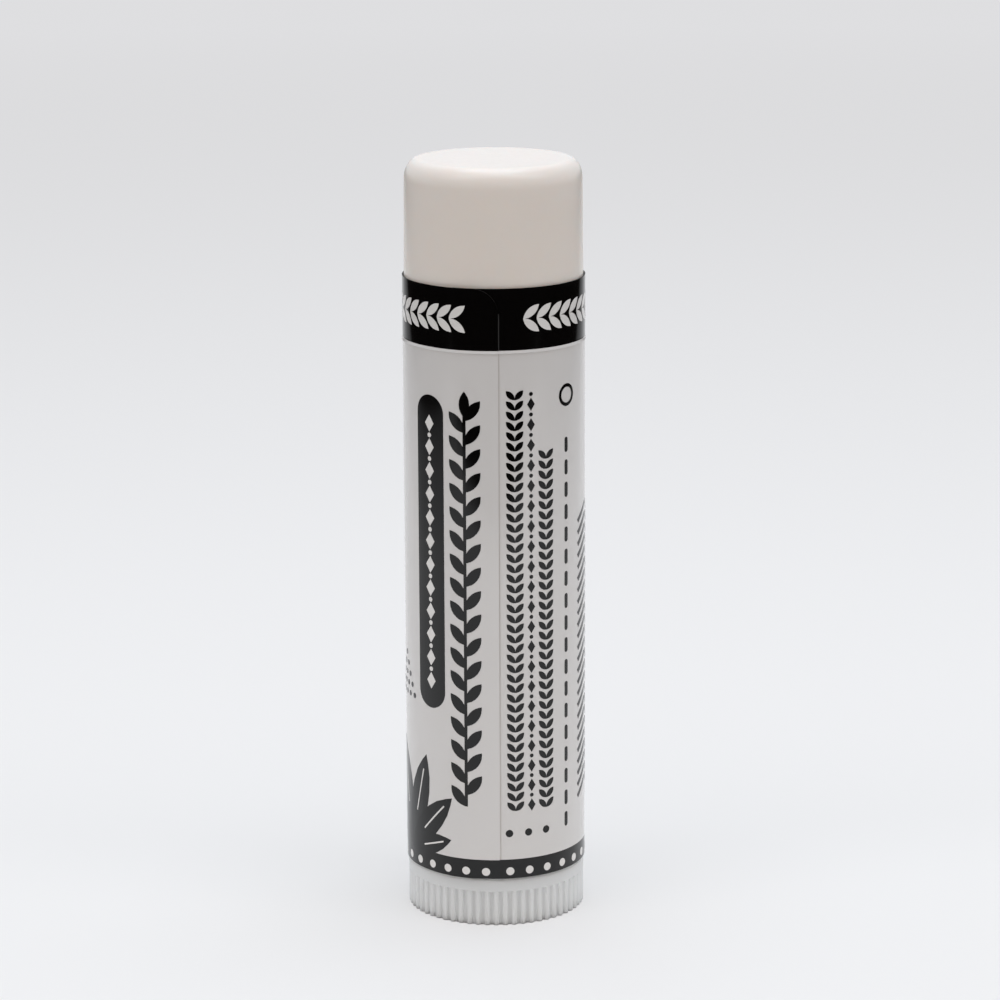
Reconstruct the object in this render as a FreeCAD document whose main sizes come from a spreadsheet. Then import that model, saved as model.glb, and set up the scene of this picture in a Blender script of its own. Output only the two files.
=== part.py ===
import FreeCAD, Part
import os
import re

import Sketcher

# Lip balm stick: a wrapped tube with a snap cap, and a balm stick that a wheel at the foot winds out.
# The origin is at the middle of the wheel's underside and +Z runs up the tube. Millimetres.

SIZES = [
    # Round the outside
    ("tube_radius", 7.88),          # tube, wheel and the cap's mouth
    ("film_thickness", 0.10),       # label film
    ("glue_gap", 0.02),             # between the film and what it is stuck to
    # Cap
    ("cap_length", 15.75),
    ("cap_wall", 0.88),             # at the mouth
    ("cap_taper", 0.12),            # how much narrower the cap is at its crown
    ("cap_bore_taper", 0.25),       # how much narrower its bore is under the crown
    ("bore_land", 0.60),            # straight bore above the tube's mouth
    ("crown_thickness", 1.10),
    ("crown_round", 1.20),          # round of the crown's outer edge
    ("crown_inner_round", 0.50),
    ("cap_gap", 0.04),              # between the cap's mouth and the tube's shoulder
    ("cap_clearance", 0.05),        # between the cap's bore and the neck's bead
    ("edge_round", 0.15),           # small moulded edges
    # Tube
    ("body_length", 47.20),         # from the foot to the shoulder
    ("neck_length", 5.00),          # from the shoulder to the mouth
    ("neck_wall", 0.80),
    ("bead_height", 0.10),          # how far the bead stands out of the neck
    ("bead_flat", 0.40),
    ("bead_slope", 0.25),
    ("bead_rise", 2.90),            # from the shoulder to the bead's lower edge
    ("skirt_wall", 1.30),           # the tube's wall below its floor
    ("skirt_depth", 1.20),
    ("floor_thickness", 1.20),
    ("key_count", 4),               # ribs in the bore that stop the cup from turning
    ("key_width", 0.90),
    ("key_height", 0.35),
    ("key_drop", 2.50),             # from the mouth down to the keys' upper ends
    # Wheel and its screw, one moulding
    ("wheel_height", 4.25),
    ("wheel_gap", 0.12),            # between the wheel and the tube's foot
    ("rib_length", 3.15),
    ("rib_depth", 0.24),            # from the collar's radius down to the ribs' roots
    ("rib_inset", 0.02),            # from the collar's radius to the ribs' tips
    ("rib_round", 0.26),
    ("rib_count", 60),
    ("rim_width", 1.30),            # ring that the stick stands on
    ("recess_depth", 0.80),
    ("spigot_height", 1.00),
    ("spigot_clearance", 0.12),
    ("stem_radius", 2.60),
    ("stem_clearance", 0.08),       # round the stem and over the floor
    ("barb_overhang", 0.45),
    ("barb_height", 0.90),
    ("core_radius", 1.50),
    ("thread_height", 0.45),
    ("thread_root_width", 1.20),
    ("thread_crest_width", 0.60),
    ("thread_lead", 2.80),
    ("thread_start", 0.40),         # above the cup's underside
    ("thread_runout", 1.20),        # bare core above the thread
    ("thread_sink", 0.15),          # how deep the thread's root lies in the core
    ("thread_clearance", 0.15),
    ("tip_taper", 0.50),
    ("tip_depth", 4.00),            # from the mouth down to the screw's tip
    # Cup that carries the balm
    ("cup_gap", 0.30),              # over the barb
    ("cup_clearance", 0.15),
    ("cup_wall", 0.80),
    ("cup_height", 7.00),
    ("cup_floor", 1.00),
    ("hub_wall", 0.75),
    ("hub_height", 6.00),
    ("key_clearance", 0.15),
    # Balm
    ("balm_clearance", 0.12),
    ("balm_fit", 0.03),             # in the cup and round its hub
    ("balm_crown", 0.90),           # height of the poured dome
    ("balm_over_tip", 0.40),
    # Label
    ("label_inset", 0.02),          # above the tube's foot
    ("tear_gap", 0.04),             # cut line between the label and the seal
    ("seal_height", 5.58),
]

# Radii, as formulas of the sizes above
CAP_BORE = "(tube_radius - cap_wall)"
NECK_RADIUS = f"({CAP_BORE} - cap_clearance - bead_height)"
BORE_RADIUS = f"({NECK_RADIUS} - neck_wall)"
KEY_FACE = f"({BORE_RADIUS} - key_height)"
SKIRT_RADIUS = "(tube_radius - skirt_wall)"
RIB_ROOT = "(tube_radius - rib_depth)"
THREAD_ROOT = "(core_radius - thread_sink)"
THREAD_CREST = "(core_radius + thread_height)"
THREAD_FLANK = "(thread_root_width - thread_crest_width) / 2"
THREAD_OVERRUN = "(2 * thread_lead)"   # how far the nut's groove runs past each end of its hub
NUT_BORE = "(core_radius + thread_clearance)"
NUT_GROOVE = f"({THREAD_CREST} + thread_clearance)"
HUB_RADIUS = f"({NUT_GROOVE} + hub_wall)"
CUP_RADIUS = f"({BORE_RADIUS} - cup_clearance)"
CUP_INSIDE = f"({CUP_RADIUS} - cup_wall)"
BALM_RADIUS = f"({BORE_RADIUS} - balm_clearance)"
FILM_INSIDE = "(tube_radius + glue_gap)"

# Heights above the surface that the stick stands on
TUBE_FOOT = "(wheel_height + wheel_gap)"
FLOOR_TOP = f"({TUBE_FOOT} + skirt_depth + floor_thickness)"
BARB_FOOT = f"({FLOOR_TOP} + stem_clearance)"
CUP_FOOT = f"({BARB_FOOT} + barb_height + cup_gap)"
BALM_FOOT = f"({CUP_FOOT} + cup_floor + balm_fit)"
SHOULDER = f"({TUBE_FOOT} + body_length)"
MOUTH = f"({SHOULDER} + neck_length)"
KEY_TOP = f"({MOUTH} - key_drop)"
SCREW_TIP = f"({MOUTH} - tip_depth)"
CAP_FOOT = f"({SHOULDER} + cap_gap)"

# Sketcher's numbers for the start, end and centre of a side, the origin and the two sketch axes
START, END, CENTRE = range(1, 4)
ORIGIN = -1
ACROSS_AXIS, UPRIGHT_AXIS = -1, -2

# How near an edge lies to the place where it is looked for
SAME_PLACE = 1e-5

document = FreeCAD.newDocument("LipBalmStick")
sheet = document.addObject("Spreadsheet::Sheet", "Sizes")
for row, (alias, number) in enumerate(SIZES, start=1):
    sheet.set(f"A{row}", str(number))
    sheet.setAlias(f"A{row}", alias)
document.recompute()


def bound(formula):
    """The formula with every size looked up in the sheet."""
    return re.sub(r"[a-z][a-z_]*", r"Sizes.\g<0>", formula)


def value(formula):
    """The formula's number at the present sizes."""
    return float(sheet.evalExpression(bound(formula)))


def new_body(label, foot):
    """A piece whose own base stands at the height of the formula foot."""
    body = document.addObject("PartDesign::Body", label)
    body.Label = label
    body.setExpression("Placement.Base.z", bound(foot))
    return body


def origin_item(body, role):
    return next(item for item in body.Origin.OriginFeatures if item.Role == role)


def new_sketch(body, name, role, lift="0"):
    """An empty sketch on one of the body's own planes, lifted along the plane's normal."""
    sketch = body.newObject("Sketcher::SketchObject", name)
    sketch.AttachmentSupport = [(origin_item(body, role), "")]
    sketch.MapMode = "FlatFace"
    sketch.setExpression("AttachmentOffset.Base.z", bound(lift))
    return sketch


def pin(sketch, kind, side, formula):
    """Holds the start of a side at a distance from the sketch's origin."""
    if formula == "0":
        axis = UPRIGHT_AXIS if kind == "DistanceX" else ACROSS_AXIS
        sketch.addConstraint(Sketcher.Constraint("PointOnObject", side, START, axis))
        return
    index = sketch.addConstraint(
        Sketcher.Constraint(kind, ORIGIN, START, side, START, value(formula)))
    sketch.setExpression(f"Constraints[{index}]", bound(formula))


def close_sides(sketch, count):
    """Joins each side's end to the start of the next."""
    for side in range(count):
        sketch.addConstraint(Sketcher.Constraint("Coincident", side, END, (side + 1) % count, START))


def draw_outline(sketch, corners, domed_side=None):
    """A closed outline through corners, each an (across, up) pair of formulas, anticlockwise.

    The domed side is an arc whose centre lies on the upright axis and whose end is its top.
    """
    places = [FreeCAD.Vector(value(across), value(up), 0) for across, up in corners]
    count = len(places)
    for side, (begin, end) in enumerate(zip(places, places[1:] + places[:1])):
        if side == domed_side:
            rise = end.y - begin.y
            radius = (begin.x ** 2 + rise ** 2) / (2 * rise)
            centre = FreeCAD.Vector(0, end.y - radius, 0)
            middle = centre + ((begin - centre) + (end - centre)).normalize() * radius
            sketch.addGeometry(Part.Arc(begin, middle, end))
        else:
            sketch.addGeometry(Part.LineSegment(begin, end))
    close_sides(sketch, count)
    if domed_side is not None:
        sketch.addConstraint(
            Sketcher.Constraint("PointOnObject", domed_side, CENTRE, UPRIGHT_AXIS))
    for side, (across, up) in enumerate(corners):
        pin(sketch, "DistanceX", side, across)
        pin(sketch, "DistanceY", side, up)


def draw_block(sketch, inner, outer, width):
    """A rectangle from the inner to the outer radius, centred on the sketch's across axis."""
    near, far, half = value(inner), value(outer), value(width) / 2
    places = [FreeCAD.Vector(x, y, 0)
              for x, y in ((near, -half), (far, -half), (far, half), (near, half))]
    for begin, end in zip(places, places[1:] + places[:1]):
        sketch.addGeometry(Part.LineSegment(begin, end))
    close_sides(sketch, len(places))
    for side in (0, 2):
        sketch.addConstraint(Sketcher.Constraint("Horizontal", side))
    sketch.addConstraint(Sketcher.Constraint("Vertical", 3))
    sketch.addConstraint(Sketcher.Constraint("Symmetric", 1, START, 1, END, ACROSS_AXIS))
    pin(sketch, "DistanceX", 0, inner)
    pin(sketch, "DistanceX", 1, outer)
    index = sketch.addConstraint(Sketcher.Constraint("DistanceY", 1, START, 1, END, 2 * half))
    sketch.setExpression(f"Constraints[{index}]", bound(width))


def turned(body, name, corners, domed_side=None):
    """A solid of revolution about the body's upright axis."""
    sketch = new_sketch(body, f"{name}_outline", "XZ_Plane")
    draw_outline(sketch, corners, domed_side)
    feature = body.newObject("PartDesign::Revolution", name)
    feature.Profile = sketch
    feature.ReferenceAxis = (sketch, ["V_Axis"])
    feature.Angle = 360
    document.recompute()
    return feature


def padded(body, sketch, name, length):
    feature = body.newObject("PartDesign::Pad", name)
    feature.Profile = sketch
    feature.setExpression("Length", bound(length))
    document.recompute()
    return feature


def cut_upward(body, sketch, name, length):
    """A pocket that runs up from its sketch."""
    whole = body.Shape.Volume
    feature = body.newObject("PartDesign::Pocket", name)
    feature.Profile = sketch
    feature.Reversed = True
    feature.setExpression("Length", bound(length))
    document.recompute()
    if body.Shape.Volume >= whole:
        raise RuntimeError(f"{name} cut nothing")
    return feature


def repeated(body, feature, name, count):
    """Equal copies of a feature all round the upright axis."""
    pattern = body.newObject("PartDesign::PolarPattern", name)
    pattern.Originals = [feature]
    pattern.Axis = (origin_item(body, "Z_Axis"), [""])
    pattern.Angle = 360
    pattern.setExpression("Occurrences", bound(count))
    body.Tip = pattern
    document.recompute()


def ring_edges(shape, rings):
    """Names of the shape's round edges at the given (radius, height) pairs of formulas."""
    names = []
    for radius, height in rings:
        ring = (value(radius), value(height))
        for number, edge in enumerate(shape.Edges, start=1):
            if edge.Curve.TypeId != "Part::GeomCircle":
                continue
            offset = max(abs(edge.Curve.Radius - ring[0]), abs(edge.Curve.Center.z - ring[1]))
            if offset < SAME_PLACE:
                names.append(f"Edge{number}")
    if len(names) < len(rings):
        raise RuntimeError("an edge to be rounded is missing")
    return names


def rounded(body, feature, name, radius, rings):
    """Rounds the feature's edges at the given (radius, height) pairs."""
    fillet = body.newObject("PartDesign::Fillet", name)
    fillet.Base = (feature, ring_edges(feature.Shape, rings))
    fillet.setExpression("Radius", bound(radius))
    document.recompute()
    return fillet


def threaded(body, kind, name, corners, lift, height):
    """A left-handed helical ridge or groove whose section is drawn lift above the body's base."""
    sketch = new_sketch(body, f"{name}_section", "XZ_Plane")
    draw_outline(sketch, corners)
    sketch.setExpression("AttachmentOffset.Base.y", bound(lift))
    feature = body.newObject(kind, name)
    feature.Profile = sketch
    feature.ReferenceAxis = (sketch, ["V_Axis"])
    feature.Mode = "pitch-height-angle"
    feature.setExpression("Pitch", bound("thread_lead"))
    feature.setExpression("Height", bound(height))
    feature.LeftHanded = True
    document.recompute()


def make_tube():
    """Tube with a floor over the wheel, a neck for the cap and keys down its bore."""
    body = new_body("tube", TUBE_FOOT)
    neck_bead = f"({NECK_RADIUS} + bead_height)"
    bead_low = "(body_length + bead_rise)"
    bead_top = f"({bead_low} + bead_slope + bead_flat)"
    mouth = "(body_length + neck_length)"
    floor_top = "(skirt_depth + floor_thickness)"
    hole_radius = "(stem_radius + stem_clearance)"
    shell = turned(body, "shell", [
        (SKIRT_RADIUS, "0"),
        ("tube_radius", "0"),
        ("tube_radius", "body_length"),
        (NECK_RADIUS, "body_length"),
        (NECK_RADIUS, bead_low),
        (neck_bead, f"{bead_low} + bead_slope"),
        (neck_bead, bead_top),
        (NECK_RADIUS, f"{bead_top} + bead_slope"),
        (NECK_RADIUS, mouth),
        (BORE_RADIUS, mouth),
        (BORE_RADIUS, floor_top),
        (hole_radius, floor_top),
        (hole_radius, "skirt_depth"),
        (SKIRT_RADIUS, "skirt_depth"),
    ])
    rounded(body, shell, "mouth_round", "edge_round", [
        (NECK_RADIUS, mouth),
        (BORE_RADIUS, mouth),
        ("tube_radius", "body_length"),
        ("tube_radius", "0"),
    ])
    section = new_sketch(body, "key_section", "XY_Plane", floor_top)
    draw_block(section, KEY_FACE, f"{BORE_RADIUS} + neck_wall / 2", "key_width")
    key = padded(body, section, "key", f"{KEY_TOP} - {FLOOR_TOP}")
    repeated(body, key, "keys", "key_count")
    return body


def make_cap():
    """Tapered cap, open below, with a soft round at its crown."""
    body = new_body("cap", CAP_FOOT)
    crown_radius = "(tube_radius - cap_taper)"
    crown_bore = f"({CAP_BORE} - cap_bore_taper)"
    crown_underside = "(cap_length - crown_thickness)"
    shell = turned(body, "shell", [
        ("0", crown_underside),
        (crown_bore, crown_underside),
        (CAP_BORE, "neck_length + bore_land"),
        (CAP_BORE, "0"),
        ("tube_radius", "0"),
        (crown_radius, "cap_length"),
        ("0", "cap_length"),
    ])
    outside = rounded(body, shell, "crown_edge", "crown_round", [(crown_radius, "cap_length")])
    inside = rounded(body, outside, "crown_corner", "crown_inner_round",
                     [(crown_bore, crown_underside)])
    rounded(body, inside, "mouth_edges", "edge_round", [(CAP_BORE, "0"), ("tube_radius", "0")])
    return body


def add_ribs(body):
    """Round upright ribs all round the wheel, below its collar."""
    section = new_sketch(body, "rib_section", "XY_Plane")
    reach = "(tube_radius - rib_inset - rib_round)"
    section.addGeometry(Part.Circle(
        FreeCAD.Vector(value(reach), 0, 0), FreeCAD.Vector(0, 0, 1), value("rib_round")))
    section.addConstraint(Sketcher.Constraint("PointOnObject", 0, CENTRE, ACROSS_AXIS))
    index = section.addConstraint(
        Sketcher.Constraint("DistanceX", ORIGIN, START, 0, CENTRE, value(reach)))
    section.setExpression(f"Constraints[{index}]", bound(reach))
    index = section.addConstraint(Sketcher.Constraint("Radius", 0, value("rib_round")))
    section.setExpression(f"Constraints[{index}]", bound("rib_round"))
    rib = padded(body, section, "rib", "rib_length")
    repeated(body, rib, "ribs", "rib_count")


def make_wheel():
    """Ribbed wheel with the feed screw that stands up through the tube's floor."""
    body = new_body("turn_wheel", "0")
    recess_radius = f"({RIB_ROOT} - rim_width)"
    spigot_radius = f"({SKIRT_RADIUS} - spigot_clearance)"
    spigot_top = "(wheel_height + spigot_height)"
    barb_radius = "(stem_radius + barb_overhang)"
    barb_top = f"({BARB_FOOT} + barb_height)"
    disc = turned(body, "disc_and_core", [
        ("0", "recess_depth"),
        (recess_radius, "recess_depth"),
        (recess_radius, "0"),
        (RIB_ROOT, "0"),
        (RIB_ROOT, "rib_length"),
        ("tube_radius", "rib_length"),
        ("tube_radius", "wheel_height"),
        (spigot_radius, "wheel_height"),
        (spigot_radius, spigot_top),
        ("stem_radius", spigot_top),
        ("stem_radius", BARB_FOOT),
        (barb_radius, BARB_FOOT),
        ("stem_radius", barb_top),
        ("core_radius", barb_top),
        ("core_radius", f"{SCREW_TIP} - tip_taper"),
        ("core_radius - tip_taper", SCREW_TIP),
        ("0", SCREW_TIP),
    ])
    rounded(body, disc, "wheel_edges", "edge_round", [
        (recess_radius, "0"),
        ("tube_radius", "wheel_height"),
        (spigot_radius, spigot_top),
    ])
    add_ribs(body)
    screw_start = f"({CUP_FOOT} + thread_start)"
    threaded(body, "PartDesign::AdditiveHelix", "screw_thread", [
        (THREAD_ROOT, "0"),
        (THREAD_CREST, THREAD_FLANK),
        (THREAD_CREST, f"{THREAD_FLANK} + thread_crest_width"),
        (THREAD_ROOT, "thread_root_width"),
    ], screw_start, f"{SCREW_TIP} - thread_runout - thread_root_width - {screw_start}")
    return body


def make_cup():
    """Cup whose threaded hub climbs the screw and whose notches follow the keys."""
    body = new_body("elevator_cup", CUP_FOOT)
    turned(body, "cup_and_hub", [
        (NUT_BORE, "0"),
        (CUP_RADIUS, "0"),
        (CUP_RADIUS, "cup_height"),
        (CUP_INSIDE, "cup_height"),
        (CUP_INSIDE, "cup_floor"),
        (HUB_RADIUS, "cup_floor"),
        (HUB_RADIUS, "hub_height"),
        (NUT_BORE, "hub_height"),
    ])
    section = new_sketch(body, "notch_section", "XY_Plane")
    draw_block(section, f"{KEY_FACE} - key_clearance", f"{BORE_RADIUS} + neck_wall",
               "key_width + 2 * key_clearance")
    notch = cut_upward(body, section, "notch", "cup_height")
    repeated(body, notch, "notches", "key_count")
    threaded(body, "PartDesign::SubtractiveHelix", "nut_thread", [
        (THREAD_ROOT, "0"),
        (NUT_GROOVE, THREAD_FLANK),
        (NUT_GROOVE, f"{THREAD_FLANK} + thread_crest_width + 2 * thread_clearance"),
        (THREAD_ROOT, "thread_root_width + 2 * thread_clearance"),
    ], f"thread_start - thread_clearance - {THREAD_OVERRUN}", f"hub_height + 2 * {THREAD_OVERRUN}")
    return body


def make_balm():
    """Balm poured round the hub and the screw, grooved by the keys, with a low dome on top."""
    body = new_body("balm_stick", BALM_FOOT)
    hub_pocket = f"({HUB_RADIUS} + balm_fit)"
    screw_bore = NUT_GROOVE
    plug_radius = f"({CUP_INSIDE} - balm_fit)"
    rim = "(cup_height - cup_floor)"
    hub_top = "(hub_height - cup_floor)"
    edge = f"({MOUTH} - {BALM_FOOT})"
    bore_top = f"({SCREW_TIP} + balm_over_tip - {BALM_FOOT})"
    turned(body, "stick", [
        (hub_pocket, "0"),
        (plug_radius, "0"),
        (plug_radius, rim),
        (BALM_RADIUS, rim),
        (BALM_RADIUS, edge),
        ("0", f"{edge} + balm_crown"),
        ("0", bore_top),
        (screw_bore, bore_top),
        (screw_bore, hub_top),
        (hub_pocket, hub_top),
    ], domed_side=4)
    section = new_sketch(body, "groove_section", "XY_Plane", rim)
    draw_block(section, f"{KEY_FACE} - key_clearance", f"{BORE_RADIUS} + neck_wall",
               "key_width + 2 * key_clearance")
    groove = cut_upward(body, section, "groove",
                        f"{KEY_TOP} + key_clearance - {BALM_FOOT} - {rim}")
    repeated(body, groove, "grooves", "key_count")
    return body


def make_film(label, foot, height):
    """A ring of label film of the given height."""
    body = new_body(label, foot)
    outside = f"({FILM_INSIDE} + film_thickness)"
    turned(body, "film", [
        (FILM_INSIDE, "0"),
        (outside, "0"),
        (outside, height),
        (FILM_INSIDE, height),
    ])
    return body


pieces = [
    make_tube(),
    make_cap(),
    make_wheel(),
    make_cup(),
    make_balm(),
    make_film("body_label", f"{TUBE_FOOT} + label_inset",
              "body_length - label_inset - tear_gap / 2"),
    make_film("seal_band", f"{CAP_FOOT} + tear_gap / 2", "seal_height"),
]
document.recompute()

for item in document.Objects:
    if "Invalid" in item.State or "Error" in item.State:
        raise RuntimeError(f"{item.Label} failed: {item.State}")
for piece in pieces:
    if piece.Shape.isNull() or not piece.Shape.isValid() or len(piece.Shape.Solids) != 1:
        raise RuntimeError(f"{piece.Label} is not one valid solid")

os.makedirs("parts", exist_ok=True)
for piece in pieces:
    piece.Shape.exportStep(f"parts/{piece.Label}.step")
    print(f"{piece.Label}: {piece.Shape.Volume:.2f} mm3")
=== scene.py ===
import math

import bmesh
import bpy
from bpy.props import FloatProperty, FloatVectorProperty, IntProperty, PointerProperty
from mathutils import Matrix, Vector


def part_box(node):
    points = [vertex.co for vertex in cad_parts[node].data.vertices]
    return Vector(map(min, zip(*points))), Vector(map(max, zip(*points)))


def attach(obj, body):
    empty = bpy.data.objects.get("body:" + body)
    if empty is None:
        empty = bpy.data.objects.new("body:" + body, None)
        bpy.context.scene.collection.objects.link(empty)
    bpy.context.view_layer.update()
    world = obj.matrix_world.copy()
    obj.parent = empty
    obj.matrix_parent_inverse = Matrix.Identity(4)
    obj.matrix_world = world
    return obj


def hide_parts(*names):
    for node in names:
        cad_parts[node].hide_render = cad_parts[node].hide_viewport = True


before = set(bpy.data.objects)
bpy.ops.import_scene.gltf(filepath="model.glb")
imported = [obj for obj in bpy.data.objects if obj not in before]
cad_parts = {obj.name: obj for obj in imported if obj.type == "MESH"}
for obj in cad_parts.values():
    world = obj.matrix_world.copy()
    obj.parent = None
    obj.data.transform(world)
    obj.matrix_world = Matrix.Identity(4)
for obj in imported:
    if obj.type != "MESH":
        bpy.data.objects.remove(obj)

bl_info = {
    "name": "Lip Balm Stick",
    "version": (1, 0, 0),
    "blender": (4, 5, 0),
    "location": "View3D > Sidebar > Lip Balm",
    "description": "Dresses a lip balm stick: its cap, printed wrap, wheel and balm, on a pale floor",
    "category": "Object",
}

MM = 0.001
NEAR = 0.001 * MM                                    # closer than this counts as the same place
STRAIGHT_UP = 0.999                                  # a normal with a larger z points straight up
STACK = 0.0012 * MM                                  # step between prints that overlap
LEVELS = 8                                           # steps before the next print starts low again
UNDER = 0.7                                          # layers of ink on a print that others lie over
OVER = 2                                             # layers of ink on a print that lies on another
GLUE_LAYERS = 0.3                                    # the same for a line of glue, which is flatter
CLOUD_SHADE = 0.965                                  # darkest cloud, as a share of a surface's colour
MIX_SHARE, MIX_FIRST, MIX_SECOND, MIX_RESULT = 0, 6, 7, 2    # sockets of a Mix node for colours
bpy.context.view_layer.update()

# Places that the frame gives
CAP_LOW, CAP_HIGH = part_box("cap")
SEAL_LOW, SEAL_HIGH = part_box("seal_band")
LABEL_LOW, LABEL_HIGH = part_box("body_label")
BALM_LOW, BALM_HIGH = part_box("balm_stick")
CUP_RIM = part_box("elevator_cup")[1].z
FILM_RADIUS = LABEL_HIGH.x                           # outside of a single layer of film
ROUND = 2 * math.pi * FILM_RADIUS                    # once round the film
TEAR_LINE = (LABEL_HIGH.z + SEAL_LOW.z) / 2
UPRIGHT = (math.pi / 2, 0, 0)                        # stands a flat primitive up, facing -Y


def linear(code):
    """The linear colour of an sRGB hex value."""
    shares = [int(code[place:place + 2], 16) / 255 for place in (0, 2, 4)]
    return [s / 12.92 if s <= 0.04045 else ((s + 0.055) / 1.055) ** 2.4 for s in shares]


def length(name, millimetres, description):
    """A length that a user may change, given in millimetres and kept in metres."""
    return FloatProperty(name=name, description=description, default=millimetres * MM,
                         min=0, precision=5, unit="LENGTH")


def angle(name, degrees, description):
    """An angle that a user may change, given in degrees."""
    return FloatProperty(name=name, description=description, default=math.radians(degrees),
                         subtype="ANGLE")


def colour(name, code, description):
    """A colour that a user may change, given as an sRGB hex value."""
    return FloatVectorProperty(name=name, description=description, default=linear(code),
                               size=3, min=0, max=1, subtype="COLOR")


class CapSettings(bpy.types.PropertyGroup):
    """Sizes of the cap that its frame does not give"""
    taper: length("Taper", 0.12, "How much narrower the cap is at its crown")
    wall: length("Wall", 0.88, "Wall at the mouth")
    land: length("Straight bore", 5.60, "Height of the straight bore above the mouth")
    bore_taper: length("Bore taper", 0.25, "How much narrower the bore is under the crown")
    crown: length("Crown", 1.10, "Thickness of the crown")
    crown_round: length("Crown round", 1.20, "How far the crown's round reaches in from the side")
    crown_drop: length("Crown drop", 1.80, "How far the crown's round reaches down the side")
    crown_ring: length("Crown ring", 0.40, "Width of the level ring inside the crown's round")
    small_round: length("Small rounds", 0.15, "Round of the mouth's edges")
    sides: IntProperty(name="Sides", description="Facets round the cap", default=192, min=24)


class WrapSettings(bpy.types.PropertyGroup):
    """The film, and how it is wrapped round the tube and the cap"""
    thickness: length("Thickness", 0.10, "Thickness of the film")
    glue: length("Glue", 0.005, "Glue between the two layers of the overlap")
    glue_line: length("Glue line", 0.10, "Width of the hairline of glue beside the outer end")
    overlap: length("Overlap", 4.0, "How far the outer end laps over the inner one")
    ramp: length("Ramp", 3.0, "Stretch in which the outer end climbs over the inner one")
    seam: angle("Seam", 2.6, "Where the outer end stops, to the right of the front")
    corner: length("Corner", 2.2, "Round of the outer end's corners")
    tear_gap: length("Tear gap", 0.008, "Width of the cut between the label and the seal")
    seal_strip: length("Bare strip", 0.24, "White film left bare under the seal's black")
    seal_flare: length("Flare", 0.07, "How far the seal's foot stands out, where the film is creased")
    seal_crease: length("Crease", 0.08, "Height of the soft crease over the bare strip")
    border: length("Border", 1.76, "Height of the black border at the label's foot")
    columns: IntProperty(name="Columns", description="Facets round the film", default=196, min=24)


class PrintSettings(bpy.types.PropertyGroup):
    """The printed pattern"""
    ink: length("Ink", 0.012, "How far the ink stands out of the film")
    column: length("Column", 0.4, "Widest facet of the print, so that it follows the film")
    border_dot: length("Border dot", 0.73, "Width of a dot in the border")
    border_dots: IntProperty(name="Border dots", description="Dots in the border", default=28, min=3)
    border_start: length("Border start", 0.9, "From the seam to the first dot")
    border_join: length("Border join", 2.14, "From the last dot to the first one, across the seam")
    leaf_length: length("Leaf length", 2.3, "Length of a leaf on the sprigs")
    leaf_width: length("Leaf width", 0.95, "Width of a leaf on the sprigs")
    leaf_lean: angle("Leaf lean", 38, "How far a leaf leans away from its stem")
    stem: length("Stem", 0.28, "Width of a stem")


class BalmSettings(bpy.types.PropertyGroup):
    """Sizes of the balm that its frame does not give"""
    dome: length("Dome", 0.90, "Rise of the dome")
    sink: length("Sink", 0.10, "How far the dome sinks at its middle, where the pour cools last")
    sink_reach: length("Sink reach", 1.6, "How wide the sink is")
    plug: length("Plug radius", 5.07, "Radius of the foot that fills the cup")
    hub: length("Hub radius", 2.88, "Radius of the hollow round the cup's hub")
    hub_top: length("Hub top", 14.05, "Height of the hub's upper end")
    screw: length("Screw radius", 2.10, "Radius of the hollow round the screw")
    screw_top: length("Screw top", 52.97, "Height of that hollow's upper end")
    groove: length("Groove", 1.20, "Width of the groove that a key leaves")
    groove_floor: length("Groove floor", 5.55, "From the axis to the groove's floor")
    groove_top: length("Groove top", 54.22, "Height of the groove's upper end")
    grooves: IntProperty(name="Grooves", description="One for each key of the tube", default=4, min=1)
    sides: IntProperty(name="Sides", description="Facets round the balm", default=128, min=24)


class FinishSettings(bpy.types.PropertyGroup):
    """Colours"""
    cap: colour("Cap", "F3EAE2", "White polypropylene of the cap")
    tube: colour("Tube", "F1EFEB", "White polypropylene of the tube and the cup")
    wheel: colour("Wheel", "E1E2E2", "Natural polypropylene of the wheel")
    film: colour("Film", "DDDAD8", "White label film")
    black: colour("Black ink", "060505", "Ink of the pattern, the border and the seal")
    white: colour("White ink", "E9E6E3", "Ink of the dots, lozenges, veins and leaves on black")
    # The film edge's grey, darker than the film, is painted shade on the cut edges and on the glue line
    # along the seam
    edge: colour("Film edge", "C9C3BF", "Cut edge of the white film")
    inked_edge: colour("Inked edge", "1D1B1A", "Cut edge of the black film")
    balm: colour("Balm", "F6EACB", "Beeswax balm")
    paper: colour("Paper", "F6F3F0", "Floor, near the stick")
    backdrop: colour("Backdrop", "E0E0E2", "Floor, far from the stick")
    table: colour("Table", "221D1A", "Dark table past the paper, which the camera does not see")
    room: colour("Room", "DFDFE1", "Pale room, seen behind the stick and in its gloss")


class StageSettings(bpy.types.PropertyGroup):
    """Camera and light"""
    lens: FloatProperty(name="Lens", description="Focal length on a 36 mm sensor", default=134.93,
                        unit="CAMERA")
    distance: length("Distance", 331.5, "From the camera to the point it looks at")
    elevation: angle("Elevation", 13.17, "How far the camera looks down")
    roll: angle("Roll", -0.238, "How far the camera is tipped about its own axis")
    aim: FloatVectorProperty(name="Aim", description="The point that the camera looks at",
                             default=(0.48 * MM, 0, 36.89 * MM), unit="LENGTH")
    front_power: FloatProperty(name="Front panel", description="Power of the panel in front", default=3.05,
                               unit="POWER")
    top_power: FloatProperty(name="Top panel", description="Power of the panel overhead", default=1.80,
                             unit="POWER")
    front: FloatProperty(name="Front light", description="Brightness of the room in front", default=0.30)
    back: FloatProperty(name="Back light", description="Brightness of the room behind", default=0.6)


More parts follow.
